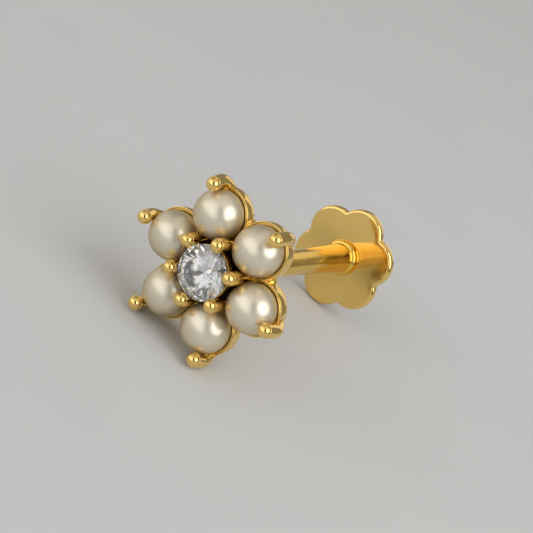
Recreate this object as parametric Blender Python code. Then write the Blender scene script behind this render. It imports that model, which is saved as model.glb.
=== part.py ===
"""A nose pin: six pearls in soldered cups round a brilliant, and a hollow post with a six-lobed back plate.

All sizes are in millimetres. The shapes are modelled along their own axis, which is Z, with the front of
the flower towards +Z, and the finished meshes are scaled to metres. The stud is then laid down on two of
its prongs and one lobe of its plate, as it lies by itself, with the flower facing -Y.
"""

import math

import bmesh
import bpy
from mathutils import Matrix, Vector

METRES_PER_MM = 0.001
PETALS = 6
STEP = math.tau / PETALS
WELD = 0.0001

# Pearls and their cups
PEARL_DIAMETER = 2.0
PEARL_SPACING = 0.185
POCKET_CLEARANCE = 0.03
CUP_WALL = 0.09
CUP_FLOOR = 0.17
CUP_RIM_DROP = 0.26
CUP_BACK_ROUND = 0.70
SOLDER_DIAMETER = 0.44
SOLDER_LENGTH = 0.40

# Ball-tipped prongs outside the pearls
OUTER_TIP_DIAMETER = 0.59
OUTER_TIP_HEIGHT = 0.63
OUTER_TIP_CLEARANCE = 0.045
OUTER_NECK_DIAMETER = 0.48
OUTER_ROD_DIAMETER = 0.54
OUTER_FOOT_DIAMETER = 0.56
OUTER_FOOT_DROP = 0.42

# Centre stone, a round brilliant
STONE_DIAMETER = 2.20
STONE_HEIGHT = 0.74
GIRDLE_THICKNESS = 0.04
TABLE_SHARE = 0.56
CROWN_ANGLE = math.radians(34.5)
PAVILION_ANGLE = math.radians(40.75)
STAR_CORNER_SHARE = 0.78
LOWER_CORNER_SHARE = 0.24

# Collet and ball-tipped prongs round the stone
COLLET_CLEARANCE = 0.04
COLLET_SETBACK = 0.02
COLLET_RIM = 0.09
COLLET_SEAT = 0.12
COLLET_BAND = 0.22
COLLET_WAIST_DIAMETER = 1.70
COLLET_WALL = 0.18
INNER_TIP_DIAMETER = 0.524
INNER_TIP_CLEARANCE = 0.032
INNER_TIP_OVERHANG = 0.045
INNER_NECK_DIAMETER = 0.44
INNER_SHOULDER_DIAMETER = 0.58
INNER_SHOULDER_DROP = 0.38
INNER_WAIST_DIAMETER = 0.36
INNER_WAIST_DROP = 0.95
INNER_FOOT_DIAMETER = 0.40

# Hub behind the flower and the pin that it carries
HUB_THICKNESS = 0.45
HUB_OVERLAP = 0.30
PIN_DIAMETER = 0.70
PIN_LENGTH = 4.6
PIN_TIP_CHAMFER = 0.12

# Hollow post and back plate
POST_DIAMETER = 1.10
POST_FOOT_DIAMETER = 1.31
POST_FLARE_LENGTH = 4.2
POST_LENGTH = 9.78
POST_MOUTH_ROUND = 0.05
SEAT_GAP = 0.05
BORE_CLEARANCE = 0.03
BORE_END_GAP = 0.40
COLLAR_DIAMETER = 1.60
COLLAR_LENGTH = 0.30
PLATE_THICKNESS = 0.45
PLATE_EDGE_ROUND = 0.12
LOBE_OFFSET = 1.316
LOBE_DIAMETER = 2.24
NOTCH_ROUND = 0.14

# Sides of the round shapes
CUP_SIDES = 36
PEARL_SIDES = 16
PEARL_RINGS = 10
TIP_SIDES = 12
TIP_RINGS = 10
POST_SIDES = 32
ROUND_STEPS = 3
CUP_ROUND_STEPS = 5
LOBE_STEPS = 12
NOTCH_STEPS = 3

# Places that follow from the sizes
PEARL_RADIUS = PEARL_DIAMETER / 2
POCKET_RADIUS = PEARL_RADIUS + POCKET_CLEARANCE
CUP_RADIUS = POCKET_RADIUS + CUP_WALL
RING_RADIUS = PEARL_DIAMETER + PEARL_SPACING
HEAD_BACK = -(POCKET_RADIUS + CUP_FLOOR)
STONE_RADIUS = STONE_DIAMETER / 2
GIRDLE_TOP = STONE_HEIGHT + GIRDLE_THICKNESS / 2
GIRDLE_BOTTOM = STONE_HEIGHT - GIRDLE_THICKNESS / 2
POST_TOP = HEAD_BACK - SEAT_GAP
PLATE_FRONT = POST_TOP - POST_LENGTH


def leg(hypotenuse, side):
    """The other short side of a right triangle."""
    return math.sqrt(max(hypotenuse**2 - side**2, 0))


def arc(centre, radius, start, end, steps):
    """Points of an arc in a plane, from one angle to the other, both ends included."""
    angles = [start + (end - start) * i / steps for i in range(steps + 1)]
    return [(centre[0] + radius * math.cos(a), centre[1] + radius * math.sin(a)) for a in angles]


def metal_or_gem(name, colour, metallic, roughness):
    """A Principled material of one colour, given as linear red, green and blue."""
    material = bpy.data.materials.new(name)
    material.use_nodes = True
    material.diffuse_color = (*colour, 1)
    shader = material.node_tree.nodes["Principled BSDF"]
    shader.inputs["Base Color"].default_value = (*colour, 1)
    shader.inputs["Metallic"].default_value = metallic
    shader.inputs["Roughness"].default_value = roughness
    return material


def object_from(name, mesh_in_progress):
    """Turn a bmesh into an object of the scene, with its faces outward."""
    bmesh.ops.recalc_face_normals(mesh_in_progress, faces=mesh_in_progress.faces)
    mesh = bpy.data.meshes.new(name)
    mesh_in_progress.to_mesh(mesh)
    mesh_in_progress.free()
    thing = bpy.data.objects.new(name, mesh)
    bpy.context.scene.collection.objects.link(thing)
    return thing


def skin(name, rings, closed):
    """Join rings of points, all with one count; a ring of one point is a tip. Ends are capped unless closed."""
    work = bmesh.new()
    rows = [[work.verts.new(point) for point in ring] for ring in rings]
    count = max(len(row) for row in rows)
    pairs = list(zip(rows, rows[1:]))
    if closed:
        pairs.append((rows[-1], rows[0]))
    for first, second in pairs:
        for i in range(count):
            j = (i + 1) % count
            corners = [first[i % len(first)], first[j % len(first)], second[j % len(second)], second[i % len(second)]]
            work.faces.new(list(dict.fromkeys(corners)))
    if not closed:
        for end in (rows[0], rows[-1]):
            if len(end) > 1:
                work.faces.new(end)
    return object_from(name, work)


def turned(name, profile, sides, closed=False):
    """A profile of (radius, height) points turned round Z."""
    rings = []
    for radius, height in profile:
        if radius == 0:
            rings.append([(0, 0, height)])
        else:
            angles = [math.tau * i / sides for i in range(sides)]
            rings.append([(radius * math.cos(a), radius * math.sin(a), height) for a in angles])
    return skin(name, rings, closed)


def rod(name, stations, sides):
    """A round bar through (radius from the axis, height, diameter) stations in the XZ plane."""
    centres = [Vector((out, 0, height)) for out, height, _ in stations]
    rings = []
    for i, (_, _, diameter) in enumerate(stations):
        along = (centres[min(i + 1, len(centres) - 1)] - centres[max(i - 1, 0)]).normalized()
        across = Vector((0, 1, 0))
        outward = across.cross(along)
        ring = []
        for k in range(sides):
            angle = math.tau * k / sides
            ring.append(centres[i] + (outward * math.cos(angle) + across * math.sin(angle)) * diameter / 2)
        rings.append(ring)
    return skin(name, rings, False)


def ball(name, centre, radius, sides, rings):
    """A round ball of given sides and rings."""
    work = bmesh.new()
    bmesh.ops.create_uvsphere(work, u_segments=sides, v_segments=rings, radius=radius)
    bmesh.ops.translate(work, verts=work.verts, vec=centre)
    return object_from(name, work)


def turn_about_axis(thing, angle):
    """Turn an object's mesh about the stud's axis."""
    thing.data.transform(Matrix.Rotation(angle, 4, "Z"))
    return thing


def boolean(thing, operation, others):
    """Join other objects to a thing, or cut them out of it, and remove them."""
    group = bpy.data.collections.new("operands")
    for other in others:
        group.objects.link(other)
    modifier = thing.modifiers.new(operation.lower(), "BOOLEAN")
    modifier.operation = operation
    modifier.operand_type = "COLLECTION"
    modifier.collection = group
    modifier.solver = "EXACT"
    bpy.context.view_layer.update()
    result = bpy.data.meshes.new_from_object(thing.evaluated_get(bpy.context.evaluated_depsgraph_get()))
    work = bmesh.new()
    work.from_mesh(result)
    bmesh.ops.remove_doubles(work, verts=work.verts, dist=WELD)
    bmesh.ops.dissolve_degenerate(work, edges=work.edges, dist=WELD)
    bmesh.ops.triangulate(work, faces=work.faces)
    work.to_mesh(result)
    work.free()
    thing.modifiers.clear()
    thing.data = result
    bpy.data.collections.remove(group)
    for other in others:
        bpy.data.objects.remove(other)
    return thing


def pearl_place(number):
    """Angle round the axis of a pearl; the first is upper left and the count runs clockwise."""
    return 2 * STEP - number * STEP


def cup_blank():
    """One cup before its pocket is cut: a short cylinder whose back edge is rounded."""
    back_round = arc(
        (CUP_RADIUS - CUP_BACK_ROUND, HEAD_BACK + CUP_BACK_ROUND), CUP_BACK_ROUND, -math.pi / 2, 0, CUP_ROUND_STEPS
    )
    profile = [(0, HEAD_BACK)] + back_round + [(CUP_RADIUS, -CUP_RIM_DROP), (0, -CUP_RIM_DROP)]
    cup = turned("cup", profile, CUP_SIDES)
    cup.data.transform(Matrix.Translation((RING_RADIUS, 0, 0)))
    return cup


def solder_bead():
    """The solder that fills the notch between two cups."""
    radius = SOLDER_DIAMETER / 2
    top = -CUP_RIM_DROP - radius
    bottom = top - SOLDER_LENGTH
    profile = [(0, bottom), (radius, bottom), (radius, top), (radius / 2, top + radius / 2), (0, top + radius / 2)]
    bead = turned("solder", profile, TIP_SIDES)
    bead.data.transform(Matrix.Translation((RING_RADIUS * math.cos(STEP / 2), 0, 0)))
    return turn_about_axis(bead, STEP / 2)


def outer_prong():
    """A rod soldered along the outside of a cup, with a rounded foot and a ball bent over the pearl."""
    tip_radius = OUTER_TIP_DIAMETER / 2
    tip_out = RING_RADIUS + leg(PEARL_RADIUS + tip_radius + OUTER_TIP_CLEARANCE, OUTER_TIP_HEIGHT)
    rod_out = RING_RADIUS + POCKET_RADIUS + OUTER_ROD_DIAMETER / 2
    wall = RING_RADIUS + CUP_RADIUS
    stations = [
        (tip_out, OUTER_TIP_HEIGHT, OUTER_NECK_DIAMETER),
        ((tip_out + rod_out) / 2, OUTER_TIP_HEIGHT / 2, OUTER_ROD_DIAMETER),
        (rod_out, 0, OUTER_ROD_DIAMETER),
        (wall, -OUTER_FOOT_DROP, OUTER_ROD_DIAMETER),
    ]
    tip = ball("tip", (tip_out, 0, OUTER_TIP_HEIGHT), tip_radius, TIP_SIDES, TIP_RINGS)
    foot = ball("foot", (wall, 0, -OUTER_FOOT_DROP), OUTER_FOOT_DIAMETER / 2, TIP_SIDES, TIP_RINGS)
    return [rod("rod", stations, TIP_SIDES), tip, foot]


def inner_prong():
    """A bud-shaped rod between two cups, with a ball that just reaches over the stone's edge."""
    tip_radius = INNER_TIP_DIAMETER / 2
    out = STONE_RADIUS + tip_radius - INNER_TIP_OVERHANG
    height = GIRDLE_TOP + leg(tip_radius + INNER_TIP_CLEARANCE, out - STONE_RADIUS)
    stations = [
        (out, height, INNER_NECK_DIAMETER),
        (out, height - INNER_SHOULDER_DROP / 2, INNER_SHOULDER_DIAMETER),
        (out, height - INNER_SHOULDER_DROP, INNER_SHOULDER_DIAMETER),
        (out, height - INNER_WAIST_DROP, INNER_WAIST_DIAMETER),
        (out, HEAD_BACK + HUB_THICKNESS / 2, INNER_FOOT_DIAMETER),
    ]
    tip = ball("tip", (out, 0, height), tip_radius, TIP_SIDES, TIP_RINGS)
    return [turn_about_axis(piece, STEP / 2) for piece in (rod("rod", stations, TIP_SIDES), tip)]


def collet():
    """The ring that the stone sits on and the cone below it, open at the front."""

    def seat_height(radius):
        """Height of the seat, which lies under the stone's pavilion by the clearance."""
        pavilion = GIRDLE_BOTTOM - (STONE_RADIUS - radius) * math.tan(PAVILION_ANGLE)
        return pavilion - COLLET_CLEARANCE / math.cos(PAVILION_ANGLE)

    outside = STONE_RADIUS - COLLET_SETBACK
    inside = outside - COLLET_RIM
    ledge = inside - COLLET_SEAT
    top = seat_height(inside)
    waist = COLLET_WAIST_DIAMETER / 2
    waist_height = -CUP_RIM_DROP
    foot = HEAD_BACK + HUB_THICKNESS / 2
    profile = [
        (outside, top),
        (inside, top),
        (ledge, seat_height(ledge)),
        (ledge, top - COLLET_BAND),
        (waist - COLLET_WALL, waist_height),
        (waist - COLLET_WALL, foot),
        (waist, foot),
        (waist, waist_height),
        (outside, top - COLLET_BAND),
    ]
    return turned("collet", profile, CUP_SIDES, closed=True)


def hub_and_pin():
    """The disc that joins the cups from behind, and the pin that the post slides over."""
    hub = RING_RADIUS - CUP_RADIUS + HUB_OVERLAP
    pin = PIN_DIAMETER / 2
    end = HEAD_BACK - PIN_LENGTH
    profile = [
        (0, end),
        (pin - PIN_TIP_CHAMFER, end),
        (pin, end + PIN_TIP_CHAMFER),
        (pin, HEAD_BACK),
        (hub, HEAD_BACK),
        (hub, HEAD_BACK + HUB_THICKNESS),
        (0, HEAD_BACK + HUB_THICKNESS),
    ]
    return turned("setting", profile, CUP_SIDES)


def stone_notch():
    """The room that the prongs' rods leave for the stone's edge."""
    outside = STONE_RADIUS + COLLET_CLEARANCE / 2
    crown = (STONE_RADIUS - STONE_RADIUS * TABLE_SHARE) * math.tan(CROWN_ANGLE)
    table = outside - crown / math.tan(CROWN_ANGLE)
    bottom = GIRDLE_BOTTOM - COLLET_CLEARANCE
    top = GIRDLE_TOP + COLLET_CLEARANCE / 2
    profile = [(0, bottom), (outside, bottom), (outside, top), (table, top + crown), (0, top + crown)]
    return turned("notch", profile, CUP_SIDES)


def setting():
    """Cups, solder, prongs, collet, hub and pin: soldered gold, so one solid."""
    setting_solid = hub_and_pin()
    pieces = [collet()]
    for number in range(PETALS):
        angle = pearl_place(number)
        for piece in [cup_blank(), solder_bead(), *outer_prong(), *inner_prong()]:
            pieces.append(turn_about_axis(piece, angle))
    boolean(setting_solid, "UNION", pieces)
    pockets = []
    for number in range(PETALS):
        pocket = ball("pocket", (RING_RADIUS, 0, 0), POCKET_RADIUS, CUP_SIDES, CUP_SIDES // 2)
        pockets.append(turn_about_axis(pocket, pearl_place(number)))
    return boolean(setting_solid, "DIFFERENCE", [*pockets, stone_notch()])


def pearl(number):
    """One round pearl in its cup."""
    name = f"pearl_{number + 1}"
    thing = ball(name, (RING_RADIUS, 0, 0), PEARL_RADIUS, PEARL_SIDES, PEARL_RINGS)
    return turn_about_axis(thing, pearl_place(number))


def centre_stone():
    """A round brilliant: table, crown, girdle and pavilion facets, as the hull of their corners."""
    work = bmesh.new()

    def add_corners(count, turn, radius, height):
        """One ring of corners."""
        for i in range(count):
            angle = math.tau * i / count + turn
            work.verts.new((radius * math.cos(angle), radius * math.sin(angle), height))

    facets = 8
    half_turn = math.pi / facets
    table = STONE_RADIUS * TABLE_SHARE
    star = STONE_RADIUS * STAR_CORNER_SHARE
    lower = STONE_RADIUS * LOWER_CORNER_SHARE
    crown_slope = math.tan(CROWN_ANGLE)
    pavilion_slope = math.tan(PAVILION_ANGLE)
    add_corners(facets, 0, table, GIRDLE_TOP + (STONE_RADIUS - table) * crown_slope)
    add_corners(facets, half_turn, star, GIRDLE_TOP + (STONE_RADIUS - star * math.cos(half_turn)) * crown_slope)
    add_corners(facets * 2, 0, STONE_RADIUS, GIRDLE_TOP)
    add_corners(facets * 2, 0, STONE_RADIUS, GIRDLE_BOTTOM)
    lower_height = GIRDLE_BOTTOM - (STONE_RADIUS - lower * math.cos(half_turn)) * pavilion_slope
    add_corners(facets, half_turn, lower, lower_height)
    work.verts.new((0, 0, GIRDLE_BOTTOM - STONE_RADIUS * pavilion_slope))
    bmesh.ops.convex_hull(work, input=work.verts)
    return object_from("centre_stone", work)


def plate_outline():
    """The six lobes, with a small round in each notch; one lobe points straight down."""
    lobe = LOBE_DIAMETER / 2
    notch_out = LOBE_OFFSET * math.cos(STEP / 2) + leg(lobe + NOTCH_ROUND, LOBE_OFFSET / 2)
    lean = math.atan2(LOBE_OFFSET / 2, notch_out - LOBE_OFFSET * math.cos(STEP / 2))
    half_lobe = STEP / 2 + lean
    points = []
    for k in range(PETALS):
        middle = STEP / 2 + k * STEP
        centre = (LOBE_OFFSET * math.cos(middle), LOBE_OFFSET * math.sin(middle))
        points += arc(centre, lobe, middle - half_lobe, middle + half_lobe, LOBE_STEPS)
        notch = middle + STEP / 2
        notch_centre = (notch_out * math.cos(notch), notch_out * math.sin(notch))
        start = notch + math.pi + lean
        end = notch + math.pi - lean
        points += arc(notch_centre, NOTCH_ROUND, start, end, NOTCH_STEPS)[1:-1]
    return points


def plate():
    """The back plate, with both of its edges rounded."""
    work = bmesh.new()
    outline = plate_outline()
    face = work.faces.new([work.verts.new((x, y, PLATE_FRONT - PLATE_THICKNESS)) for x, y in outline])
    grown = bmesh.ops.extrude_face_region(work, geom=[face])
    lifted = [item for item in grown["geom"] if isinstance(item, bmesh.types.BMVert)]
    bmesh.ops.translate(work, verts=lifted, vec=(0, 0, PLATE_THICKNESS))
    upright = [edge for edge in work.edges if edge.verts[0].co.z != edge.verts[1].co.z]
    rims = [edge for edge in work.edges if edge not in set(upright)]
    bmesh.ops.bevel(work, geom=rims, offset=PLATE_EDGE_ROUND, segments=2, profile=0.5, affect="EDGES")
    return object_from("plate", work)


def back():
    """The hollow post, its collar and the plate: one soldered solid that slides off the pin."""
    bore = PIN_DIAMETER / 2 + BORE_CLEARANCE
    bore_end = HEAD_BACK - PIN_LENGTH - BORE_END_GAP
    post = POST_DIAMETER / 2
    foot = POST_FOOT_DIAMETER / 2
    collar = COLLAR_DIAMETER / 2
    collar_front = PLATE_FRONT + COLLAR_LENGTH
    collar_round = arc(
        (foot, PLATE_FRONT + COLLAR_LENGTH / 2), COLLAR_LENGTH / 2, math.pi / 2, -math.pi / 2, ROUND_STEPS * 2
    )
    bulge = (collar - foot) / (COLLAR_LENGTH / 2)
    profile = [
        (0, bore_end),
        (bore, bore_end),
        (bore, POST_TOP),
        (post - POST_MOUTH_ROUND, POST_TOP),
        (post, POST_TOP - POST_MOUTH_ROUND),
        (post, PLATE_FRONT + POST_FLARE_LENGTH),
        (foot, collar_front + COLLAR_LENGTH / 2),
    ]
    profile += [(foot + (radius - foot) * bulge, height) for radius, height in collar_round]
    profile += [(foot, PLATE_FRONT - PLATE_THICKNESS / 2), (0, PLATE_FRONT - PLATE_THICKNESS / 2)]
    post_solid = turned("back", profile, POST_SIDES)
    return boolean(post_solid, "UNION", [plate()])


def resting_tilt(head, plate):
    """Slope of the line that carries both groups of (y, z) points, turned onto one and the other until it rests."""
    foot = min(head, key=lambda p: p[1])
    for _ in range(PETALS):
        heel = min(plate, key=lambda p: (p[1] - foot[1]) / (p[0] - foot[0]))
        foot = max(head, key=lambda p: (heel[1] - p[1]) / (heel[0] - p[0]))
    return math.atan2(heel[1] - foot[1], heel[0] - foot[0])


def lay_down(things):
    """Parent the pieces to an empty that lays the stud on its prongs and one lobe, over the origin."""
    upright = Matrix.Rotation(math.pi / 2, 4, "X")
    points = [upright @ vertex.co for thing in things for vertex in thing.data.vertices]
    middle_of_post = POST_LENGTH / 2 - POST_TOP
    head = [(p.y, p.z) for p in points if p.y < middle_of_post]
    plate_end = [(p.y, p.z) for p in points if p.y > middle_of_post]
    levelled = Matrix.Rotation(-resting_tilt(head, plate_end), 4, "X")
    placed = [levelled @ p for p in points]
    low = Vector([min(p[axis] for p in placed) for axis in range(3)])
    high = Vector([max(p[axis] for p in placed) for axis in range(3)])
    shift = Vector((-(low.x + high.x) / 2, -(low.y + high.y) / 2, -low.z))
    stud = bpy.data.objects.new("stud", None)
    bpy.context.scene.collection.objects.link(stud)
    stud.empty_display_size = RING_RADIUS * METRES_PER_MM
    stud.matrix_world = Matrix.Translation(shift * METRES_PER_MM) @ levelled @ upright
    for thing in things:
        thing.data.transform(Matrix.Scale(METRES_PER_MM, 4))
        thing.parent = stud


def build():
    """Make every piece, give it its material and lay the stud down."""
    for old in list(bpy.data.objects):
        bpy.data.objects.remove(old)
    gold = metal_or_gem("yellow_gold", (0.72, 0.47, 0.14), 1.0, 0.12)
    nacre = metal_or_gem("pearl_nacre", (0.72, 0.67, 0.55), 0.0, 0.22)
    crystal = metal_or_gem("cubic_zirconia", (0.90, 0.92, 0.95), 0.0, 0.02)
    pieces = [(setting(), gold)]
    pieces += [(pearl(number), nacre) for number in range(PETALS)]
    pieces += [(centre_stone(), crystal), (back(), gold)]
    for thing, material in pieces:
        thing.data.materials.clear()
        thing.data.materials.append(material)
    lay_down([thing for thing, _ in pieces])


build()
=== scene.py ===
# %% [markdown]
# # A nose pin with six pearls round a brilliant
# The stud is small jeweller's work: soldered gold cups hold pearls, gold prongs with round ends grip them,
# and a hollow post with a flower-shaped plate slides over a pin at the back. The imported model gives exact
# places and sizes but has flat facets, so this lesson makes each piece again with smooth turned surfaces in
# the same place, and then gives it the finish of the real one. The first cell loads that model as a fixed
# frame.

# %% Load the frame
import math

import bmesh
import bpy
from mathutils import Matrix, Vector


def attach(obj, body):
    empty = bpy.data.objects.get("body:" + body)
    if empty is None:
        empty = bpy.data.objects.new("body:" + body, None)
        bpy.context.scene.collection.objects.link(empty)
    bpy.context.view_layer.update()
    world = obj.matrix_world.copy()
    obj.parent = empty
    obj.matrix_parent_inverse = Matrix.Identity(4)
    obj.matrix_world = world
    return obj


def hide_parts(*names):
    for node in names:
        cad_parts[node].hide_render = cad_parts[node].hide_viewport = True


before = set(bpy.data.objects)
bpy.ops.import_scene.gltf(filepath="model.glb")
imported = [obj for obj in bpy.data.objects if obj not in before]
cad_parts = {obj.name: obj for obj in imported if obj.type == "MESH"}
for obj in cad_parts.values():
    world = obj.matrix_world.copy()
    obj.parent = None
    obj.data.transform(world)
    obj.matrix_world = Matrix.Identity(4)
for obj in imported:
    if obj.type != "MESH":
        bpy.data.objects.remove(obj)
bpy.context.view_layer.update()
MM = 0.001
print("nodes", sorted(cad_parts))

# %% [markdown]
# ## Where the stud lies
# Every piece is drawn in millimetres along the stud's own axis, with the flower facing up the Z axis and
# the middle of its pearls at zero. One matrix then lays it down as it rests by itself, on two prongs and one
# lobe of the plate. Working on the axis keeps all the turned shapes simple, and the matrix is used once.

# %% Lay-down matrix
REST_LEAN = math.radians(85.7096)
FLOWER_PLACE = Vector((0, -5.1528, 3.2790))
lay_down = Matrix.Scale(MM, 4) @ Matrix.Translation(FLOWER_PLACE) @ Matrix.Rotation(REST_LEAN, 4, "X")
PETALS = 6
STEP = math.tau / PETALS


def petal_turn(number):
    """Turn about the stud's axis of a petal, counted clockwise from the upper left one."""
    return Matrix.Rotation(2 * STEP - number * STEP, 4, "Z")


print("the stud's axis leans", round(90 - math.degrees(REST_LEAN), 2), "degrees from level")

# %% [markdown]
# ## Turning and skinning
# Nearly all of this jewel is turned: cups, beads, collet and post all have a profile that goes round an axis.
# A modifier could do that, but a few lines of mesh code give full control of where the points go, so a
# profile and a number of sides are all that a piece needs.

# %% Mesh helpers
def arc(centre, radius, start, end, steps):
    """Points of an arc in a plane, in degrees, both ends included."""
    turns = [math.radians(start + (end - start) * i / steps) for i in range(steps + 1)]
    return [(centre[0] + radius * math.cos(a), centre[1] + radius * math.sin(a)) for a in turns]


def skin(rings, closed=False):
    """A mesh in progress over rings of points; a ring of one point is a tip, and open ends are capped."""
    work = bmesh.new()
    rows = [[work.verts.new(point) for point in ring] for ring in rings]
    count = max(len(row) for row in rows)
    pairs = list(zip(rows, rows[1:]))
    if closed:
        pairs.append((rows[-1], rows[0]))
    for first, second in pairs:
        for i in range(count):
            j = (i + 1) % count
            lower = [first[i % len(first)], first[j % len(first)]]
            upper = [second[j % len(second)], second[i % len(second)]]
            corners = list(dict.fromkeys(lower + upper))
            if len(corners) > 2:
                work.faces.new(corners)
    if not closed:
        for end in (rows[0], rows[-1]):
            if len(end) > 2:
                work.faces.new(end)
    bmesh.ops.recalc_face_normals(work, faces=work.faces)
    return work


def turned(profile, sides, closed=False):
    """A profile of (radius, height) points turned round Z."""
    rings = []
    for radius, height in profile:
        if radius == 0:
            rings.append([(0, 0, height)])
        else:
            around = [math.tau * i / sides for i in range(sides)]
            rings.append([(radius * math.cos(a), radius * math.sin(a), height) for a in around])
    return skin(rings, closed)


print("an arc of a quarter turn in 4 steps has", len(arc((0, 0), 1.0, 0, 90, 4)), "points")

# %% [markdown]
# ## From meshes to a piece
# A soldered jewel is one piece of metal with many parts, so the meshes of its parts are put together in one
# object. Edges sharper than a limit stay crisp and the rest shade smoothly, as polished metal does. Each
# piece rides on the body of the frame that it moves with.

# %% From meshes to a piece
CRISP_ANGLE = math.radians(38)


def piece_from(name, parts, materials, body):
    """One object from meshes in progress, each with its matrix, in its final place, riding on a body."""
    whole = bmesh.new()
    for work, matrix in parts:
        loose = bpy.data.meshes.new("loose")
        work.to_mesh(loose)
        loose.transform(matrix)
        whole.from_mesh(loose)
        bpy.data.meshes.remove(loose)
    for face in whole.faces:
        face.smooth = True
    for edge in whole.edges:
        edge.smooth = len(edge.link_faces) == 2 and edge.calc_face_angle(0) < CRISP_ANGLE
    mesh = bpy.data.meshes.new(name)
    whole.to_mesh(mesh)
    whole.free()
    mesh.transform(lay_down)
    for material in materials:
        mesh.materials.append(material)
    piece = bpy.data.objects.new(name, mesh)
    bpy.context.scene.collection.objects.link(piece)
    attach(piece, body)
    print(name, len(mesh.polygons), "faces")
    return piece


# %% [markdown]
# ## Colour and node helpers
# Colours are easiest to read as the sRGB hex values of a paint chart, and the renderer wants linear ones, so
# one function turns them. One more function adds a shader node with its settings and its links, which is
# all that the finishes below need. The Mix node keeps its colour sockets at fixed numbers.

# %% Colour and node helpers
def colour(hex_value):
    """Linear red, green, blue and alpha of an sRGB hex value."""
    parts = [int(hex_value[i:i + 2], 16) / 255 for i in (1, 3, 5)]
    return (*[c / 12.92 if c <= 0.04045 else ((c + 0.055) / 1.055) ** 2.4 for c in parts], 1)


def new_material(name):
    """A material with a Principled shader, its node tree and that shader."""
    material = bpy.data.materials.new(name)
    material.use_nodes = True
    return material, material.node_tree, material.node_tree.nodes["Principled BSDF"]


COLOUR_A = 6
COLOUR_B = 7
COLOUR_OUT = 2


def add(tree, kind, values=None, links=None, **settings):
    """One node of a kind, with its settings, its socket values and its incoming links."""
    node = tree.nodes.new(kind)
    for key, value in settings.items():
        setattr(node, key, value)
    for key, value in (values or {}).items():
        node.inputs[key].default_value = value
    for key, socket in (links or {}).items():
        tree.links.new(socket, node.inputs[key])
    return node


# %% [markdown]
# ## Polished yellow gold
# The setting and the post are 18-carat gold: an alloy with silver and copper, cast, soldered and polished on
# a felt wheel. A metal has no colour but that of its reflection, so the base colour is the tint of that
# mirror. What tells the eye that it is real metal is that the mirror isn't perfect: the wheel leaves very
# shallow waves, somewhat under a millimetre long, and fine swirl marks that spread each highlight a little.
# Real swirl marks are a hundredth of a millimetre wide, and here they are five times as wide, so that they
# show. The tube of the post was drawn and only buffed, and the back plate was stamped and tumbled, so both
# have a softer mirror, and the solder between the cups, which the wheel hardly reaches, has the softest.

# %% Polished gold
GOLD_TINT = "#F9D98C"
WAVE_LENGTH = 0.7 * MM
SWIRL_LENGTH = 0.05 * MM
NOISE_LOW = 0.3
NOISE_HIGH = 0.7


def gold(name, tint, deep_tint, smoothest, roughest, wave_height):
    """Gold with a slow change of tint, uneven polish, fine swirl marks and waves; their height is in mm."""
    material, tree, shader = new_material(name)
    place = add(tree, "ShaderNodeTexCoord").outputs["Object"]
    waves = add(tree, "ShaderNodeTexNoise", {"Scale": 1 / WAVE_LENGTH, "Detail": 2.0}, {"Vector": place})
    swirls = add(tree, "ShaderNodeTexNoise", {"Scale": 1 / SWIRL_LENGTH, "Detail": 3.0}, {"Vector": place})
    tints = {COLOUR_A: colour(deep_tint), COLOUR_B: colour(tint)}
    blend = add(tree, "ShaderNodeMix", tints, {"Factor": waves.outputs["Fac"]}, data_type="RGBA")
    tree.links.new(blend.outputs[COLOUR_OUT], shader.inputs["Base Color"])
    spread = {"From Min": NOISE_LOW, "From Max": NOISE_HIGH, "To Min": smoothest, "To Max": roughest}
    polish = add(tree, "ShaderNodeMapRange", spread, {"Value": swirls.outputs["Fac"]})
    tree.links.new(polish.outputs["Result"], shader.inputs["Roughness"])
    bumps = add(tree, "ShaderNodeBump", {"Distance": wave_height * MM}, {"Height": waves.outputs["Fac"]})
    tree.links.new(bumps.outputs["Normal"], shader.inputs["Normal"])
    shader.inputs["Metallic"].default_value = 1.0
    return material


polished_gold = gold(
    "polished_18_carat_gold",
    tint=GOLD_TINT,
    deep_tint="#F3CD76",
    smoothest=0.03,
    roughest=0.08,
    wave_height=0.006,
)
tube_gold = gold(
    "drawn_and_buffed_gold",
    tint="#F2CA68",
    deep_tint="#EBBD50",
    smoothest=0.12,
    roughest=0.18,
    wave_height=0.004,
)
plate_gold = gold(
    "stamped_and_tumbled_gold",
    tint="#F8D688",
    deep_tint="#F2CB72",
    smoothest=0.07,
    roughest=0.12,
    wave_height=0.004,
)
solder_gold = gold(
    "gold_solder",
    tint="#F6CB62",
    deep_tint="#EDBB4A",
    smoothest=0.10,
    roughest=0.20,
    wave_height=0.012,
)
print("gold reflects", [round(c, 2) for c in colour(GOLD_TINT)[:3]])

# %% [markdown]
# ## Gold in the recesses, with painted shade
# No polishing wheel reaches between the pearls or into the cups. There the gold keeps its rough skin from
# casting, and its tint is turned almost black as painted shade, so that the eye reads those places as deep
# dark gaps. It is the same metal, so only its tint goes down and its roughness up.

# %% Gold in the recesses
# Painted shade: these dark tints stand in for the shade inside the cups and in the flower's middle.
recess_gold_with_painted_shade = gold(
    "unpolished_gold_with_painted_shade",
    tint="#5A4526",
    deep_tint="#2E2212",
    smoothest=0.45,
    roughest=0.65,
    wave_height=0.010,
)
print("materials so far", [material.name for material in bpy.data.materials])
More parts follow.
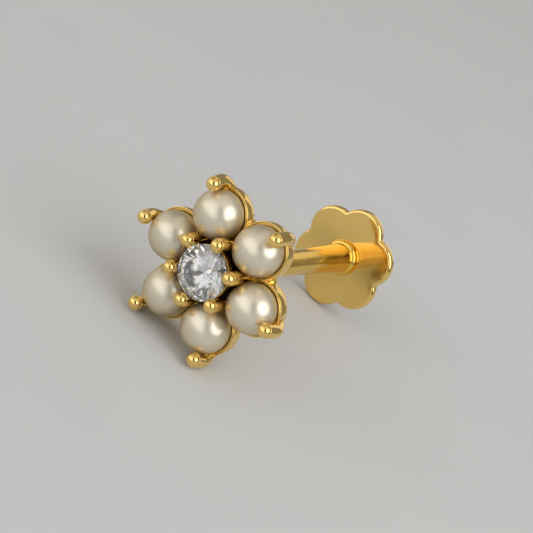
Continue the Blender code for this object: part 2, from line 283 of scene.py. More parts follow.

# %% [markdown]
# ## Nacre
# A cultured pearl is a bead covered by thousands of thin layers of aragonite. Light goes a little way in and
# comes back softened, so highlights look deep and have blurred edges, and a thin clear gloss lies over them.
# The many layers send back more light than one clear surface would, almost as a metal does. Towards the rim
# the colour is turned to golden brown, a painted reflection of the gold cups and prongs round each pearl. So
# the shader is a soft mirror of cream with a thin sharper coat, and a painted golden reflection at its rim.

# %% Nacre
NACRE_CREAM = "#EAE5D5"
NACRE_SHADE = "#DDD6C2"
NACRE_PAINTED_GOLD_REFLECTION = "#C2A35F"
NACRE_CLOUD = 1.1 * MM
NACRE_GRAIN = 0.15 * MM
PAINTED_REFLECTION_BLEND = 0.36
LUSTRE_SMOOTHEST = 0.31
LUSTRE_ROUGHEST = 0.35


def nacre():
    """The pearls' finish."""
    material, tree, shader = new_material("cultured_pearl_nacre")
    place = add(tree, "ShaderNodeTexCoord").outputs["Object"]
    clouds = add(tree, "ShaderNodeTexNoise", {"Scale": 1 / NACRE_CLOUD, "Detail": 1.0}, {"Vector": place})
    grain = add(tree, "ShaderNodeTexNoise", {"Scale": 1 / NACRE_GRAIN, "Detail": 1.0}, {"Vector": place})
    creams = {COLOUR_A: colour(NACRE_SHADE), COLOUR_B: colour(NACRE_CREAM)}
    cream = add(tree, "ShaderNodeMix", creams, {"Factor": clouds.outputs["Fac"]}, data_type="RGBA")
    # Painted reflection of the surrounding gold: the colour turns golden brown towards the rim.
    facing = add(tree, "ShaderNodeLayerWeight", {"Blend": PAINTED_REFLECTION_BLEND}).outputs["Facing"]
    both = {"Factor": facing, COLOUR_A: cream.outputs[COLOUR_OUT]}
    tone_with_painted_reflection = add(tree, "ShaderNodeMix", {COLOUR_B: colour(NACRE_PAINTED_GOLD_REFLECTION)}, both, data_type="RGBA")
    tree.links.new(tone_with_painted_reflection.outputs[COLOUR_OUT], shader.inputs["Base Color"])
    spread = {"From Min": NOISE_LOW, "From Max": NOISE_HIGH}
    spread.update({"To Min": LUSTRE_SMOOTHEST, "To Max": LUSTRE_ROUGHEST})
    lustre = add(tree, "ShaderNodeMapRange", spread, {"Value": grain.outputs["Fac"]})
    tree.links.new(lustre.outputs["Result"], shader.inputs["Roughness"])
    shader.inputs["Metallic"].default_value = 0.65
    shader.inputs["IOR"].default_value = 1.68
    shader.inputs["Coat Weight"].default_value = 0.10
    shader.inputs["Coat Roughness"].default_value = 0.15
    shader.inputs["Coat IOR"].default_value = 1.53
    return material


pearl_nacre = nacre()
print("nacre has", len(pearl_nacre.node_tree.nodes), "nodes")

# %% [markdown]
# ## Pearls
# Each pearl is a bead of two millimetres. A sphere with enough sides is the real shape, but grown nacre is
# never a perfect ball, so each one is pressed out of round by a few thousandths of its size and turned its
# own way.

# %% Pearls
PEARL_RADIUS = 1.0
RING_RADIUS = 2.185
PEARL_SIDES = 96
PEARL_SHAPE = Matrix.Diagonal((1.0, 0.994, 0.997, 1))
PEARL_TURN = 1.3
to_ring = Matrix.Translation((RING_RADIUS, 0, 0))


def pearl(number):
    """One pearl in the place of its solid."""
    profile = arc((0, 0), PEARL_RADIUS, -90, 90, PEARL_SIDES // 2)
    profile[0] = (0, -PEARL_RADIUS)
    profile[-1] = (0, PEARL_RADIUS)
    bead = turned(profile, PEARL_SIDES)
    own_turn = Matrix.Rotation(number * PEARL_TURN, 4, "X") @ PEARL_SHAPE
    place = petal_turn(number) @ to_ring @ own_turn
    name = f"pearl_{number + 1}"
    piece = piece_from(f"{name}_nacre", [(bead, place)], [pearl_nacre], "flower")
    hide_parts(name)
    return piece


pearls = [pearl(number) for number in range(PETALS)]

# %% [markdown]
# ## Cups
# Behind each pearl is a shallow cup, drilled to the pearl's round. A thin polished lip stands at its edge,
# and just inside the lip a narrow ledge catches a second line of light. It could be pressed from sheet, but
# the real one has a thick wall with a rounded back, so it is turned as one closed profile: back, round,
# short wall, lip, ledge, and the pocket under the pearl, which gets the recess gold with its painted shade.

# %% Cups
CUP_RADIUS = 1.12
POCKET_RADIUS = 1.03
HEAD_BACK = -1.20
CUP_BACK_ROUND = 0.62
CUP_LIP = -0.26
LIP_WIDTH = 0.06
LIP_ROUND = 0.02
LEDGE_DROP = 0.05
LEDGE_RADIUS = 0.978
LEDGE_ROUND = 0.015
POCKET_DROP = 0.05
POCKET_MARGIN = 0.002
LEDGE_MARGIN = 0.02
CUP_SIDES = 128
BACK_STEPS = 20
POCKET_STEPS = 24
SMALL_ROUND_STEPS = 4


def cup():
    """One cup round the axis of its own pearl."""
    back_middle = (CUP_RADIUS - CUP_BACK_ROUND, HEAD_BACK + CUP_BACK_ROUND)
    back_edge = arc(back_middle, CUP_BACK_ROUND, -90, 0, BACK_STEPS)
    lip = arc((CUP_RADIUS - LIP_ROUND, CUP_LIP - LIP_ROUND), LIP_ROUND, 0, 90, SMALL_ROUND_STEPS)
    inner_edge = CUP_RADIUS - LIP_WIDTH
    lip += arc((inner_edge + LIP_ROUND, CUP_LIP - LIP_ROUND), LIP_ROUND, 90, 180, SMALL_ROUND_STEPS)
    ledge = CUP_LIP - LEDGE_DROP
    lip += [(inner_edge - 0.004, ledge + 0.006), (inner_edge - 0.012, ledge), (LEDGE_RADIUS + 0.02, ledge)]
    lip += arc((LEDGE_RADIUS + LEDGE_ROUND, ledge - LEDGE_ROUND), LEDGE_ROUND, 90, 180, 3)
    pocket_start = math.degrees(math.asin((ledge - POCKET_DROP) / POCKET_RADIUS))
    pocket = arc((0, 0), POCKET_RADIUS, pocket_start, -90, POCKET_STEPS)
    profile = [(0, HEAD_BACK)] + back_edge + lip + pocket[:-1] + [(0, -POCKET_RADIUS)]
    bowl = turned(profile, CUP_SIDES)
    # The pocket's faces take the second material, the recess gold darkened as painted shade.
    for face in bowl.faces:
        middle = face.calc_center_median()
        if middle.length < POCKET_RADIUS + POCKET_MARGIN and middle.z < ledge - LEDGE_MARGIN:
            face.material_index = 1
    return bowl


cup_parts = [(cup(), petal_turn(number) @ to_ring) for number in range(PETALS)]
print("a cup has", len(cup_parts[0][0].faces), "faces")

# %% [markdown]
# ## Solder
# Where two round walls meet, melted solder is drawn into the notch and sets with a hollow face, because the
# liquid wets both sides. A tube of solder would look stuck on, so the face is an arc that touches both
# walls, and its radius shrinks towards the top, where the notch holds less.

# %% Solder webs
WEB_STEPS = 10
ROD_RADIUS = 0.27

# The hidden edge of a web lies this share of the way from the line between the walls to its face's middle.
WEB_ROOT = 0.2


def web(distance, levels):
    """Solder between two round walls along X, on the +Y side; levels are (height, wall, wall, hollow)."""
    rings = []
    for height, radius_a, radius_b, hollow in levels:
        reach_a = radius_a + hollow
        reach_b = radius_b + hollow
        along = (distance**2 + reach_a**2 - reach_b**2) / (2 * distance)
        middle = Vector((along, math.sqrt(reach_a**2 - along**2), 0))
        to_a = (Vector((0, 0, 0)) - middle).normalized()
        to_b = (Vector((distance, 0, 0)) - middle).normalized()
        ring = []
        for i in range(WEB_STEPS + 1):
            share = i / WEB_STEPS
            direction = (to_a * (1 - share) + to_b * share).normalized()
            ring.append((middle.x + direction.x * hollow, middle.y + direction.y * hollow, height))
        ring.append((along, middle.y * WEB_ROOT, height))
        rings.append(ring)
    return skin(rings)


def bowl_radius(height):
    """Outside radius of a cup at a height."""
    rise = min(height - HEAD_BACK - CUP_BACK_ROUND, 0)
    return CUP_RADIUS - CUP_BACK_ROUND + math.sqrt(CUP_BACK_ROUND**2 - rise**2)


# Height on the wall, and radius of the solder's hollow face there.
CUP_HOLLOWS = [(-0.95, 0.20), (-0.85, 0.22), (-0.70, 0.23), (-0.55, 0.20)]
CUP_HOLLOWS += [(-0.45, 0.15), (-0.37, 0.08), (-0.31, 0.02)]
ROD_HOLLOWS = [(-0.66, 0.02), (-0.60, 0.07), (-0.45, 0.10), (-0.36, 0.07), (-0.29, 0.02)]
cup_levels = [(height, bowl_radius(height), bowl_radius(height), hollow) for height, hollow in CUP_HOLLOWS]
rod_levels = [(height, bowl_radius(height), ROD_RADIUS, hollow) for height, hollow in ROD_HOLLOWS]
cup_distance = 2 * RING_RADIUS * math.sin(STEP / 2)
mirror_side = Matrix.Diagonal((1, -1, 1, 1))
solder_parts = []
for number in range(PETALS):
    first = petal_turn(number) @ Vector((RING_RADIUS, 0, 0))
    second = petal_turn(number + 1) @ Vector((RING_RADIUS, 0, 0))
    direction = (second - first).normalized()
    line_up = Matrix.Translation(first) @ Matrix.Rotation(math.atan2(direction.y, direction.x), 4, "Z")
    for side in (Matrix.Identity(4), mirror_side):
        solder_parts.append((web(cup_distance, cup_levels), line_up @ side))
print("neighbouring cups are", round(cup_distance, 3), "mm apart and", len(solder_parts), "webs join them")

# %% [markdown]
# ## Prongs outside the pearls
# Each is a round wire soldered up the side of a cup and bent in over the pearl. Its end was cut with a cup
# burr, a hollow round file that leaves a polished dome with a fine step round it. A bent wire could be a
# curve object, but rings of points along its path also let the thickness change and the rounded foot close.

# %% Outer prongs
WIRE_SIDES = 48
OUTER_TIP_RADIUS = 0.295
OUTER_TIP = Vector((3.3685, 0, 0.63))
OUTER_NECK_RADIUS = OUTER_TIP_RADIUS * 0.97
OUTER_WIRE_X = 3.485
OUTER_FOOT_HEIGHT = -0.42
CUP_WALL_X = RING_RADIUS + CUP_RADIUS
FOOT_RADIUS = 0.275
WIRE_RADIUS = FOOT_RADIUS - 0.006
ROD_STAND = 0.03
WAIST = Vector((OUTER_WIRE_X - 0.008, 0, 0.02))
WAIST_PULL = Vector((0.02, 0, 0.16))
TIP_PULL = 0.3
TIP_STEP = 0.06
FOOT_STEPS = 9
WALL_STEPS = 10
BEND_STEPS = 16
DOME_ROUND = 0.92
DOME_STEPS = 16


def tip_profile(radius):
    """(forward, radius) points of a burr-cut end, from the outside of its step to the front of its dome."""
    profile = [(-TIP_STEP, 1.0), (0.0, 0.988), (0.035, 0.968), (0.045, 0.95), (0.04, 0.93)]
    for i in range(DOME_STEPS):
        angle = math.pi / 2 * i / DOME_STEPS
        profile.append((1 - DOME_ROUND + DOME_ROUND * math.sin(angle), DOME_ROUND * math.cos(angle)))
    profile.append((1, 0))
    return [(ahead * radius, across * radius) for ahead, across in profile]


def wire(stations):
    """Rings across a path in the XZ plane, through (place, radius) stations; a radius of zero is an end."""
    rings = []
    for i, (centre, radius) in enumerate(stations):
        along = (stations[min(i + 1, len(stations) - 1)][0] - stations[max(i - 1, 0)][0]).normalized()
        across = Vector((0, 1, 0))
        outward = across.cross(along)
        if radius == 0:
            rings.append([centre])
            continue
        turns = [math.tau * k / WIRE_SIDES for k in range(WIRE_SIDES)]
        rings.append([centre + (outward * math.cos(a) + across * math.sin(a)) * radius for a in turns])
    return skin(rings)


def bezier(a, b, c, d, share):
    """Point of a cubic curve."""
    rest = 1 - share
    return a * rest**3 + b * 3 * rest**2 * share + c * 3 * rest * share**2 + d * share**3


def outer_prong():
    """Rounded foot on the cup's wall, gentle bend over the pearl, and the domed end."""
    foot = Vector((CUP_WALL_X, 0, OUTER_FOOT_HEIGHT))
    rise = Vector((OUTER_WIRE_X - CUP_WALL_X, 0, -OUTER_FOOT_HEIGHT)).normalized()
    stations = []
    for i in range(FOOT_STEPS + 1):
        angle = math.pi / 2 * i / FOOT_STEPS
        stations.append((foot - rise * FOOT_RADIUS * math.cos(angle), FOOT_RADIUS * math.sin(angle)))
    for i in range(1, WALL_STEPS + 1):
        share = i / WALL_STEPS
        place = bezier(foot, foot + rise * 0.2, WAIST - WAIST_PULL, WAIST, share)
        stations.append((place, FOOT_RADIUS + (WIRE_RADIUS - FOOT_RADIUS) * share))
    lean = (OUTER_TIP - Vector((OUTER_WIRE_X + 0.01, 0, 0.05))).normalized()
    neck = OUTER_TIP - lean * TIP_STEP
    for i in range(1, BEND_STEPS + 1):
        share = i / BEND_STEPS
        place = bezier(WAIST, WAIST + WAIST_PULL, OUTER_TIP - lean * TIP_PULL, neck, share)
        stations.append((place, WIRE_RADIUS + (OUTER_NECK_RADIUS - WIRE_RADIUS) * share**2))
    stations += [(OUTER_TIP + lean * ahead, radius) for ahead, radius in tip_profile(OUTER_TIP_RADIUS)]
    return wire(stations)


def rod_solder(side):
    """Solder between an outer wire and its cup, on one side."""
    distance = CUP_WALL_X + ROD_STAND - RING_RADIUS
    return web(distance, rod_levels), to_ring @ side


prong_parts = [(outer_prong(), petal_turn(number)) for number in range(PETALS)]
for number in range(PETALS):
    for side in (Matrix.Identity(4), mirror_side):
        work, place = rod_solder(side)
        solder_parts.append((work, petal_turn(number) @ place))
print("an outer prong has", len(prong_parts[0][0].faces), "faces")

# %% [markdown]
# ## Prongs round the stone
# These were filed like buds: a ball for the end, a swelling behind it, and a taper down to the hub. The seat
# for the stone's edge is cut into the inner side with a pointed burr, so after turning the bud its points
# that would touch the stone are moved outward.

# %% Inner prongs
STONE_RADIUS = 1.10
GIRDLE_TOP = 0.76
GIRDLE_BOTTOM = 0.72
NOTCH_RADIUS = 1.12
INNER_TIP_RADIUS = 0.278
INNER_PRONG_X = 1.317
INNER_TIP_HEIGHT = 0.958
CROWN_SLOPE = math.tan(math.radians(34.5))
CROWN_ROOM = 0.02
GIRDLE_ROOM = 0.06
BUD_FOOT = HEAD_BACK + 0.1
BUD_PROFILE = [(0, BUD_FOOT), (0.20, BUD_FOOT), (0.19, -0.5), (0.185, -0.1), (0.198, 0.03), (0.226, 0.16)]
BUD_PROFILE += [(0.254, 0.28), (0.277, 0.40), (0.290, 0.50), (0.295, 0.60), (0.294, 0.70), (0.289, 0.79)]
BUD_PROFILE += [(0.283, 0.87)]


def inner_prong():
    """A bud-shaped prong with the stone's seat cut into it."""
    tip = [(across, INNER_TIP_HEIGHT + ahead) for ahead, across in tip_profile(INNER_TIP_RADIUS)]
    bud = turned(BUD_PROFILE + tip, WIRE_SIDES)
    for vert in bud.verts:
        vert.co.x += INNER_PRONG_X
        radius = math.hypot(vert.co.x, vert.co.y)
        crown = GIRDLE_TOP + CROWN_ROOM + max(STONE_RADIUS - radius, 0) * CROWN_SLOPE
        if radius < NOTCH_RADIUS and GIRDLE_BOTTOM - GIRDLE_ROOM < vert.co.z < crown:
            vert.co.x *= NOTCH_RADIUS / radius
            vert.co.y *= NOTCH_RADIUS / radius
    return bud


half_step = Matrix.Rotation(STEP / 2, 4, "Z")
prong_parts += [(inner_prong(), petal_turn(number) @ half_step) for number in range(PETALS)]
print("there are", len(prong_parts), "prongs")

# %% [markdown]
# ## Collet, hub and pin
# The stone sits on a ring with a cone below it, and a disc behind holds everything together. The pin that
# carries the post is fixed to that disc. All three are turned, and the pin shows only when the post is off.

# %% Collet, hub and pin
PAVILION_SLOPE = math.tan(math.radians(40.75))
SEAT_GAP = 0.04 / math.cos(math.atan(PAVILION_SLOPE))
SEAT_WIDTH = 0.09
LEDGE_WIDTH = 0.12
COLLET_ROUND = 0.025
CONE_INSIDE = 0.67
CONE_OUTSIDE = 0.85
CONE_TOP = -0.36
CONE_FOOT = -0.975
PIN_RADIUS = 0.35
PIN_END = -5.80
HUB_ROUND = 0.06
HUB_RADIUS = 1.365
HUB_FRONT = HEAD_BACK + 0.45


def seat_height(radius):
    """Height of the seat just under the stone's pavilion."""
    return GIRDLE_BOTTOM - (STONE_RADIUS - radius) * PAVILION_SLOPE - SEAT_GAP


def collet():
    """The seat ring just inside the stone's edge, and its cone, as one closed profile."""
    outside = STONE_RADIUS - 0.02
    inside = outside - SEAT_WIDTH
    ledge = inside - LEDGE_WIDTH
    top = seat_height(inside)
    profile = arc((outside - COLLET_ROUND, top - COLLET_ROUND), COLLET_ROUND, 0, 90, SMALL_ROUND_STEPS)
    profile += [(inside, top), (ledge, seat_height(ledge)), (ledge, top - 0.22)]
    profile += [(CONE_INSIDE, CONE_TOP), (CONE_INSIDE, CONE_FOOT), (CONE_OUTSIDE, CONE_FOOT)]
    profile += [(CONE_OUTSIDE, CONE_TOP), (0.93, 0.0), (outside - 0.05, top - 0.30), (outside, top - 0.20)]
    ring = turned(profile, CUP_SIDES, closed=True)
    # Faces below the flower's middle and inside the ledge take the recess gold, darkened as painted shade.
    for face in ring.faces:
        middle = face.calc_center_median()
        if middle.z < 0.0 or math.hypot(middle.x, middle.y) < ledge + 0.01:
            face.material_index = 1
    return ring


def hub_and_pin():
    """The disc behind the flower and the pin; the disc's front is a recess, given painted shade."""
    profile = [(0, PIN_END), (0.23, PIN_END), (0.32, PIN_END + 0.03), (PIN_RADIUS, PIN_END + 0.12)]
    profile += [(PIN_RADIUS, HEAD_BACK - 0.05), (PIN_RADIUS + 0.03, HEAD_BACK)]
    profile += arc((HUB_RADIUS - HUB_ROUND, HEAD_BACK + HUB_ROUND), HUB_ROUND, -90, 0, SMALL_ROUND_STEPS)
    profile += [(HUB_RADIUS, HUB_FRONT), (0, HUB_FRONT)]
    disc = turned(profile, CUP_SIDES)
    # The disc's front takes the recess gold, darkened as painted shade.
    for face in disc.faces:
        if face.calc_center_median().z > HUB_FRONT - 0.01:
            face.material_index = 1
    return disc


still = Matrix.Identity(4)
hub_parts = [(collet(), still), (hub_and_pin(), still)]
print("the pin is", round(HEAD_BACK - PIN_END, 2), "mm long")

# %% [markdown]
# ## The flower's gold in one piece
# Cups, prongs, collet and hub are joined in one object, because they are one soldered piece of metal. The
# solder is an object of its own, because its gold has another tint and polish. Together they stand for the
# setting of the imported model, which stays in the frame for collision but no longer shows.

# %% The flower's gold
gold_parts = cup_parts + prong_parts + hub_parts
flower_gold = piece_from("flower_cups_and_prongs", gold_parts, [polished_gold, recess_gold_with_painted_shade], "flower")
flower_solder = piece_from("flower_solder", solder_parts, [solder_gold], "flower")
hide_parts("setting")

# %% [markdown]
# ## Post, collar and plate
# The post is a drawn tube that widens a little towards the plate, with a wire ring soldered round its foot.
# The plate was stamped from sheet in six lobes, then tumbled until its edges were round and its face was a
# soft mirror. The outline is made of arcs, and the rounded edge is a quarter circle swept round it.

# %% Post, collar and plate
POST_TOP = -1.25
PLATE_FRONT = -11.03
PLATE_THICKNESS = 0.45
LOBE_OFFSET = 1.316
LOBE_RADIUS = 1.12
NOTCH_ROUND = 0.14
PLATE_EDGE_ROUND = 0.15
BORE_RADIUS = 0.38
BORE_END = -6.20
POST_ROUND = 0.05
POST_RADIUS = 0.55
POST_FLARE = [(0.551, -6.3), (0.56, -7.2), (0.578, -8.2), (0.602, -9.2), (0.628, -10.1), (0.645, -10.66)]
COLLAR_ROUND = 0.135
COLLAR_RADIUS = 0.665
COLLAR_STEPS = 14
MOUTH_STEPS = 5
HALF_LOBE = 30
LOBE_STEPS = 40
NOTCH_STEPS = 8
EDGE_STEPS = 8
FACE_RINGS = (0.3, 0.6, 0.85)


def post():
    """Tube with its bore, flare and collar."""
    profile = [(0, BORE_END), (BORE_RADIUS, BORE_END), (BORE_RADIUS, POST_TOP - 0.02)]
    profile += [(BORE_RADIUS + 0.02, POST_TOP)]
    profile += arc((POST_RADIUS - POST_ROUND, POST_TOP - POST_ROUND), POST_ROUND, 90, 0, MOUTH_STEPS)
    profile += [(POST_RADIUS, -3.0), (POST_RADIUS, -5.0)] + POST_FLARE + [(0.652, -10.715)]
    profile += arc((COLLAR_RADIUS, PLATE_FRONT + 0.155), COLLAR_ROUND, 85, -85, COLLAR_STEPS)
    profile += [(0.66, PLATE_FRONT + 0.01), (0.70, PLATE_FRONT - 0.03), (0, PLATE_FRONT - 0.03)]
    return turned(profile, CUP_SIDES)


def plate_outline(inset):
    """Points of the six-lobed outline, moved inward by an inset."""
    across = LOBE_OFFSET * math.cos(STEP / 2)
    notch_out = across + math.sqrt((LOBE_RADIUS + NOTCH_ROUND) ** 2 - (LOBE_OFFSET / 2) ** 2)
    lean = math.degrees(math.atan2(LOBE_OFFSET / 2, notch_out - across))
    points = []
    for number in range(PETALS):
        middle = HALF_LOBE + 2 * HALF_LOBE * number
        turn = math.radians(middle)
        centre = (LOBE_OFFSET * math.cos(turn), LOBE_OFFSET * math.sin(turn))
        reach = HALF_LOBE + lean
        points += arc(centre, LOBE_RADIUS - inset, middle - reach, middle + reach, LOBE_STEPS)
        notch = math.radians(middle + HALF_LOBE)
        notch_centre = (notch_out * math.cos(notch), notch_out * math.sin(notch))
        inward = middle + HALF_LOBE + 180
        hollow = arc(notch_centre, NOTCH_ROUND + inset, inward + lean, inward - lean, NOTCH_STEPS)
        points += hollow[1:-1]
    return points


def plate():
    """The plate as rings from the middle of its front, round its edge, to the middle of its back."""
    plate_back = PLATE_FRONT - PLATE_THICKNESS
    rings = [[(0, 0, PLATE_FRONT)]]
    outline = plate_outline(PLATE_EDGE_ROUND)
    for share in FACE_RINGS:
        rings.append([(x * share, y * share, PLATE_FRONT) for x, y in outline])
    for i in range(EDGE_STEPS + 1):
        angle = math.pi / 2 * i / EDGE_STEPS
        inset = PLATE_EDGE_ROUND * (1 - math.sin(angle))
        drop = PLATE_EDGE_ROUND * (1 - math.cos(angle))
        rings.append([(x, y, PLATE_FRONT - drop) for x, y in plate_outline(inset)])
    for i in range(EDGE_STEPS + 1):
        angle = math.pi / 2 * i / EDGE_STEPS
        inset = PLATE_EDGE_ROUND * (1 - math.cos(angle))
        rise = PLATE_EDGE_ROUND * (1 - math.sin(angle))
        rings.append([(x, y, plate_back + rise) for x, y in plate_outline(inset)])
    for share in reversed(FACE_RINGS):
        rings.append([(x * share, y * share, plate_back) for x, y in outline])
    rings.append([(0, 0, plate_back)])
    sheet = skin(rings)
    for face in sheet.faces:
        face.material_index = 1
    return sheet


back_parts = [(post(), still), (plate(), still)]
post_and_plate = piece_from("post_and_plate", back_parts, [tube_gold, plate_gold], "back")
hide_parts("back")

# %% [markdown]
# ## Centre stone
# The stone is a round brilliant of cubic zirconia, the usual colourless stone of such pins. Its flat facets
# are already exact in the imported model, so that node stays and only gets its finish. The sparkle comes from
# a high refractive index, which turns light back inside the stone, so the shader is glass with the index of
# the real stone. A little plain white in it stands for the light of the many reflections too small to
# follow, and a faint cloud in its tint and polish keeps it from looking like a drawing.

# %% Cubic zirconia
STONE_IOR = 2.17
STONE_WHITE = "#FFFFFF"
STONE_SHADE = "#F4F8FF"
STONE_CLOUD = 0.2 * MM
STONE_CLEARNESS = 0.91
STONE_ROUGHEST = 0.02


def cubic_zirconia():
    """Nearly clear stone with a very fine difference in tint and polish."""
    material, tree, shader = new_material("cubic_zirconia")
    place = add(tree, "ShaderNodeTexCoord").outputs["Object"]
    clouds = add(tree, "ShaderNodeTexNoise", {"Scale": 1 / STONE_CLOUD, "Detail": 2.0}, {"Vector": place})
    whites = {COLOUR_A: colour(STONE_SHADE), COLOUR_B: colour(STONE_WHITE)}
    tint = add(tree, "ShaderNodeMix", whites, {"Factor": clouds.outputs["Fac"]}, data_type="RGBA")
    tree.links.new(tint.outputs[COLOUR_OUT], shader.inputs["Base Color"])
    spread = {"To Min": 0.0, "To Max": STONE_ROUGHEST}
    polish = add(tree, "ShaderNodeMapRange", spread, {"Value": clouds.outputs["Fac"]})
    tree.links.new(polish.outputs["Result"], shader.inputs["Roughness"])
    shader.inputs["IOR"].default_value = STONE_IOR
    shader.inputs["Transmission Weight"].default_value = STONE_CLEARNESS
    return material


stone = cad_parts["centre_stone"]
stone_finish = cubic_zirconia()
for slot in stone.material_slots:
    slot.material = stone_finish
print("stone has", len(stone.data.polygons), "triangles")

# %% [markdown]
# ## Camera
# The camera looks at the flower from the front, a little from above and from the side of the post, rolled as
# a free hand rolls it. Its place and axes were found in millimetres along the stud's own axis, like the
# pieces, so the same matrices lay it down with the stud. A long lens keeps the small jewel free of strong
# perspective.

# %% Camera
CAMERA_PLACE = Vector((19.860, 19.858, 45.276))
CAMERA_RIGHT = Vector((0.6884, 0.5341, -0.4907))
CAMERA_UP = Vector((-0.6360, 0.7698, -0.0545))
CAMERA_BACK = Vector((0.3487, 0.3495, 0.8696))
SENSOR_WIDTH = 36
LENS_LENGTH = 94.56
NEAREST = 0.001
lie = Matrix.Rotation(REST_LEAN, 3, "X")
eye_right, eye_up, eye_back = lie @ CAMERA_RIGHT, lie @ CAMERA_UP, lie @ CAMERA_BACK
camera = bpy.data.objects.new("camera", bpy.data.cameras.new("camera"))
camera.data.sensor_width = SENSOR_WIDTH
camera.data.lens = LENS_LENGTH
camera.data.clip_start = NEAREST
camera_turn = Matrix((eye_right, eye_up, eye_back)).transposed().to_4x4()
camera.matrix_world = Matrix.Translation(lay_down @ CAMERA_PLACE) @ camera_turn
bpy.context.scene.collection.objects.link(camera)
bpy.context.scene.camera = camera
print("camera stands at", [round(c / MM, 1) for c in camera.matrix_world.translation], "mm")

# %% [markdown]
# ## Floor
# The stud lies on a sheet of pale, uncoated paper. It could be a bare grey plane, but polished gold shows
# what it lies on, so the paper gets the faint clouds that its fibres give.

# %% Floor
PAPER_PALE = "#D1D3D5"
PAPER_SHADE = "#CACDD0"
PAPER_CLOUDS_PER_METRE = 120.0
PAPER_HALF_SIZE = 0.6


def floor_paper():
    """Plain pale paper with a slight unevenness."""
    material, tree, shader = new_material("pale_paper_floor")
    place = add(tree, "ShaderNodeTexCoord").outputs["Object"]
    fibres = {"Scale": PAPER_CLOUDS_PER_METRE, "Detail": 3.0}
    clouds = add(tree, "ShaderNodeTexNoise", fibres, {"Vector": place})
    papers = {COLOUR_A: colour(PAPER_SHADE), COLOUR_B: colour(PAPER_PALE)}
    tint = add(tree, "ShaderNodeMix", papers, {"Factor": clouds.outputs["Fac"]}, data_type="RGBA")
    tree.links.new(tint.outputs[COLOUR_OUT], shader.inputs["Base Color"])
    shader.inputs["Roughness"].default_value = 0.75
    return material


floor_work = bmesh.new()
bmesh.ops.create_grid(floor_work, x_segments=1, y_segments=1, size=PAPER_HALF_SIZE)
floor_mesh = bpy.data.meshes.new("floor")
floor_work.to_mesh(floor_mesh)
floor_work.free()
floor_mesh.materials.append(floor_paper())
floor = bpy.data.objects.new("floor", floor_mesh)
bpy.context.scene.collection.objects.link(floor)
print("the floor is", 2 * PAPER_HALF_SIZE, "m wide")

# %% [markdown]
# ## Soft boxes
# Polished gold and pearls show the lamps themselves, so the lamps' shapes matter as much as their light. A
# wide box on the camera's left gives each ball and pearl its broad pale field, and a round lamp on the right
# the small bright spot. A weak box low at the back draws the edges of cups and post, and a weak one above
# fills the top. Each has its place in the camera's right, up and back, and its light in watts per square
# metre and steradian, so that a change of size doesn't change how bright its mirror image looks.

# %% Soft boxes
AIM = Vector((0, -2.5, 3.0)) * MM
SHAPE_FILL = {"RECTANGLE": 1, "ELLIPSE": math.pi / 4}


def soft_box(name, shape, direction, distance, size, brightness, tint):
    """An area light of a width and height that faces the stud from a direction."""
    away = (eye_right * direction[0] + eye_up * direction[1] + eye_back * direction[2]).normalized()
    light = bpy.data.lights.new(name, "AREA")
    light.shape = shape
    light.size = size[0]
    light.size_y = size[1]
    light.energy = brightness * math.pi * size[0] * size[1] * SHAPE_FILL[shape]
    light.color = colour(tint)[:3]
    lamp = bpy.data.objects.new(name, light)
    side = eye_up.cross(away).normalized()
    turn = Matrix((side, away.cross(side), away)).transposed().to_4x4()
    lamp.matrix_world = Matrix.Translation(AIM + away * distance) @ turn
    bpy.context.scene.collection.objects.link(lamp)
    print(name, "stands", round(lamp.matrix_world.translation.z / MM), "mm above the floor")
    return lamp


soft_box(
    "wide_left_box",
    "RECTANGLE",
    direction=(-0.69, 0.29, 0.66),
    distance=0.30,
    size=(0.60, 0.44),
    brightness=0.66,
    tint="#FFFAF4",
)
soft_box(
    "round_right_lamp",
    "ELLIPSE",
    direction=(0.79, 0.01, 0.61),
    distance=0.30,
    size=(0.31, 0.31),
    brightness=2.2,
    tint="#FFFFFF",
)
soft_box(
    "low_back_box",
    "RECTANGLE",
    direction=(0.63, 0.31, -0.71),
    distance=0.35,
    size=(0.16, 0.20),
    brightness=0.60,
    tint="#FFF6EE",
)
soft_box(
    "top_box",
    "RECTANGLE",
    direction=(0.49, 0.76, 0.42),
    distance=0.40,
    size=(0.50, 0.50),
    brightness=0.42,
    tint="#FFF3E2",
)

# %% [markdown]
# ## Studio air
# The room itself is pale on the left, where a white wall throws light back, and dimmer on the right. Only
# the narrow gap between the two lamps is dark, where the camera stands, and it ends a little above the
# camera. It could be a black card, but a card would show in views from the other side, so the world gets
# darker along one short upright band. Each soft edge is a range of how far a direction goes along an axis.

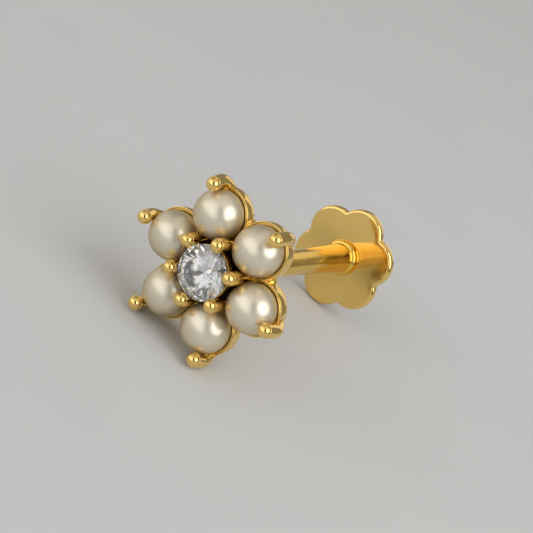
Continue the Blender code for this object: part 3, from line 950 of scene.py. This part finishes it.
# %% Studio air
GAP_MIDDLE = math.radians(9)
GAP_EDGE = (0.22, 0.26)
GAP_BEHIND = (0.4, 0.1)
GAP_LOWER_END = (0.05, -0.10)
GAP_UPPER_END = (0.42, 0.56)
WALL_EDGE = (0.0, -0.4)
WALL_LEFT = "#DEDCD8"
ROOM_RIGHT = "#8E8C89"
GAP_DARK = "#100D0A"


def studio_air():
    """A world that is pale on the left and has a dark band between the lamps."""
    world = bpy.data.worlds.new("studio_air")
    world.use_nodes = True
    tree = world.node_tree
    direction = add(tree, "ShaderNodeTexCoord").outputs["Generated"]
    towards = eye_right * math.sin(GAP_MIDDLE) + eye_back * math.cos(GAP_MIDDLE)
    across = eye_right * math.cos(GAP_MIDDLE) - eye_back * math.sin(GAP_MIDDLE)
    soft_edges = {
        "beside": (across, GAP_EDGE),
        "behind": (towards, GAP_BEHIND),
        "below": (eye_up, GAP_LOWER_END),
        "above": (eye_up, GAP_UPPER_END),
        "left": (eye_right, WALL_EDGE),
    }
    part = {}
    for name, (axis, (start, end)) in soft_edges.items():
        along = add(tree, "ShaderNodeVectorMath", {1: axis}, {0: direction}, operation="DOT_PRODUCT")
        reach = along.outputs["Value"]
        if name == "beside":
            reach = add(tree, "ShaderNodeMath", links={0: reach}, operation="ABSOLUTE").outputs["Value"]
        limits = {"From Min": start, "From Max": end, "To Min": 0.0, "To Max": 1.0}
        part[name] = add(tree, "ShaderNodeMapRange", limits, {"Value": reach}).outputs["Result"]
    share = part["beside"]
    for name in ("behind", "below", "above"):
        larger = add(tree, "ShaderNodeMath", links={0: share, 1: part[name]}, operation="MAXIMUM")
        share = larger.outputs["Value"]
    walls = {COLOUR_A: colour(ROOM_RIGHT), COLOUR_B: colour(WALL_LEFT)}
    room = add(tree, "ShaderNodeMix", walls, {"Factor": part["left"]}, data_type="RGBA")
    lit = {"Factor": share, COLOUR_B: room.outputs[COLOUR_OUT]}
    grey = add(tree, "ShaderNodeMix", {COLOUR_A: colour(GAP_DARK)}, lit, data_type="RGBA")
    tree.links.new(grey.outputs[COLOUR_OUT], tree.nodes["Background"].inputs["Color"])
    return world


bpy.context.scene.world = studio_air()
bpy.context.scene.view_settings.view_transform = "Standard"
print("the air has", len(bpy.context.scene.world.node_tree.nodes), "nodes")
